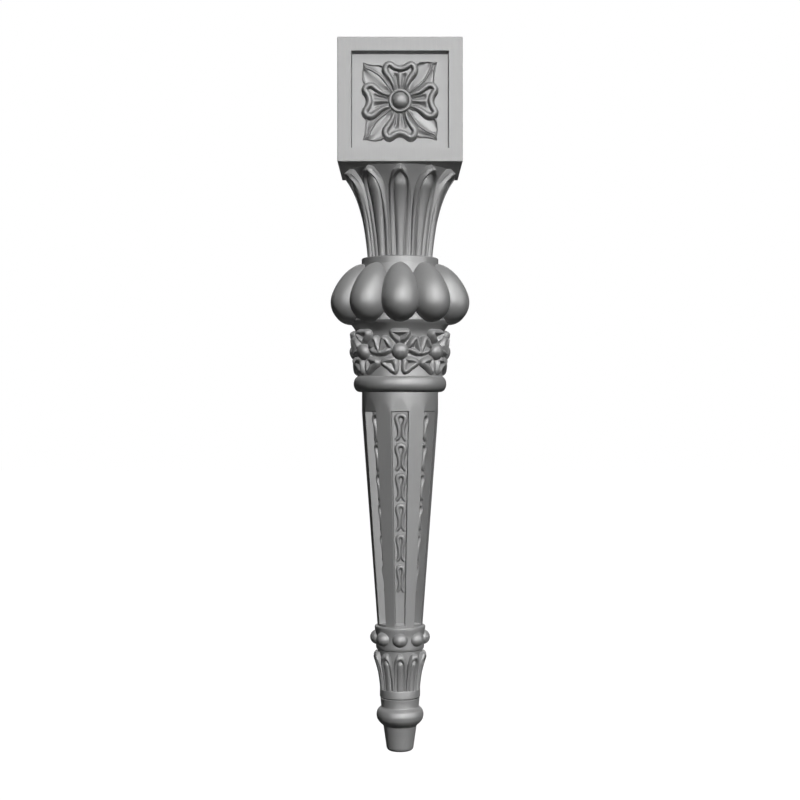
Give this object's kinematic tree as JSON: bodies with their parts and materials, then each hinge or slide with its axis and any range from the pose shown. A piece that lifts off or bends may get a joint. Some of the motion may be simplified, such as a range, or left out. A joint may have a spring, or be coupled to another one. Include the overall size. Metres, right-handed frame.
{
  "type": "furniture leg",
  "caption": "Carved and turned table leg with a square rosette head block, leaf capital, egg ring and panelled tapering shaft.",
  "frame": {"origin": "centre of the head block's top face, where the leg meets the table frame", "axes": "+Z along the leg's axis, up out of the block's top face; the leg hangs down to -Z and its front face looks to -Y"},
  "size_m": [0.1408, 0.1466, 0.725],
  "materials": {
    "wood": null
  },
  "bodies": {
    "root": {"carved_leg": "wood"}
  },
  "joints": []
}
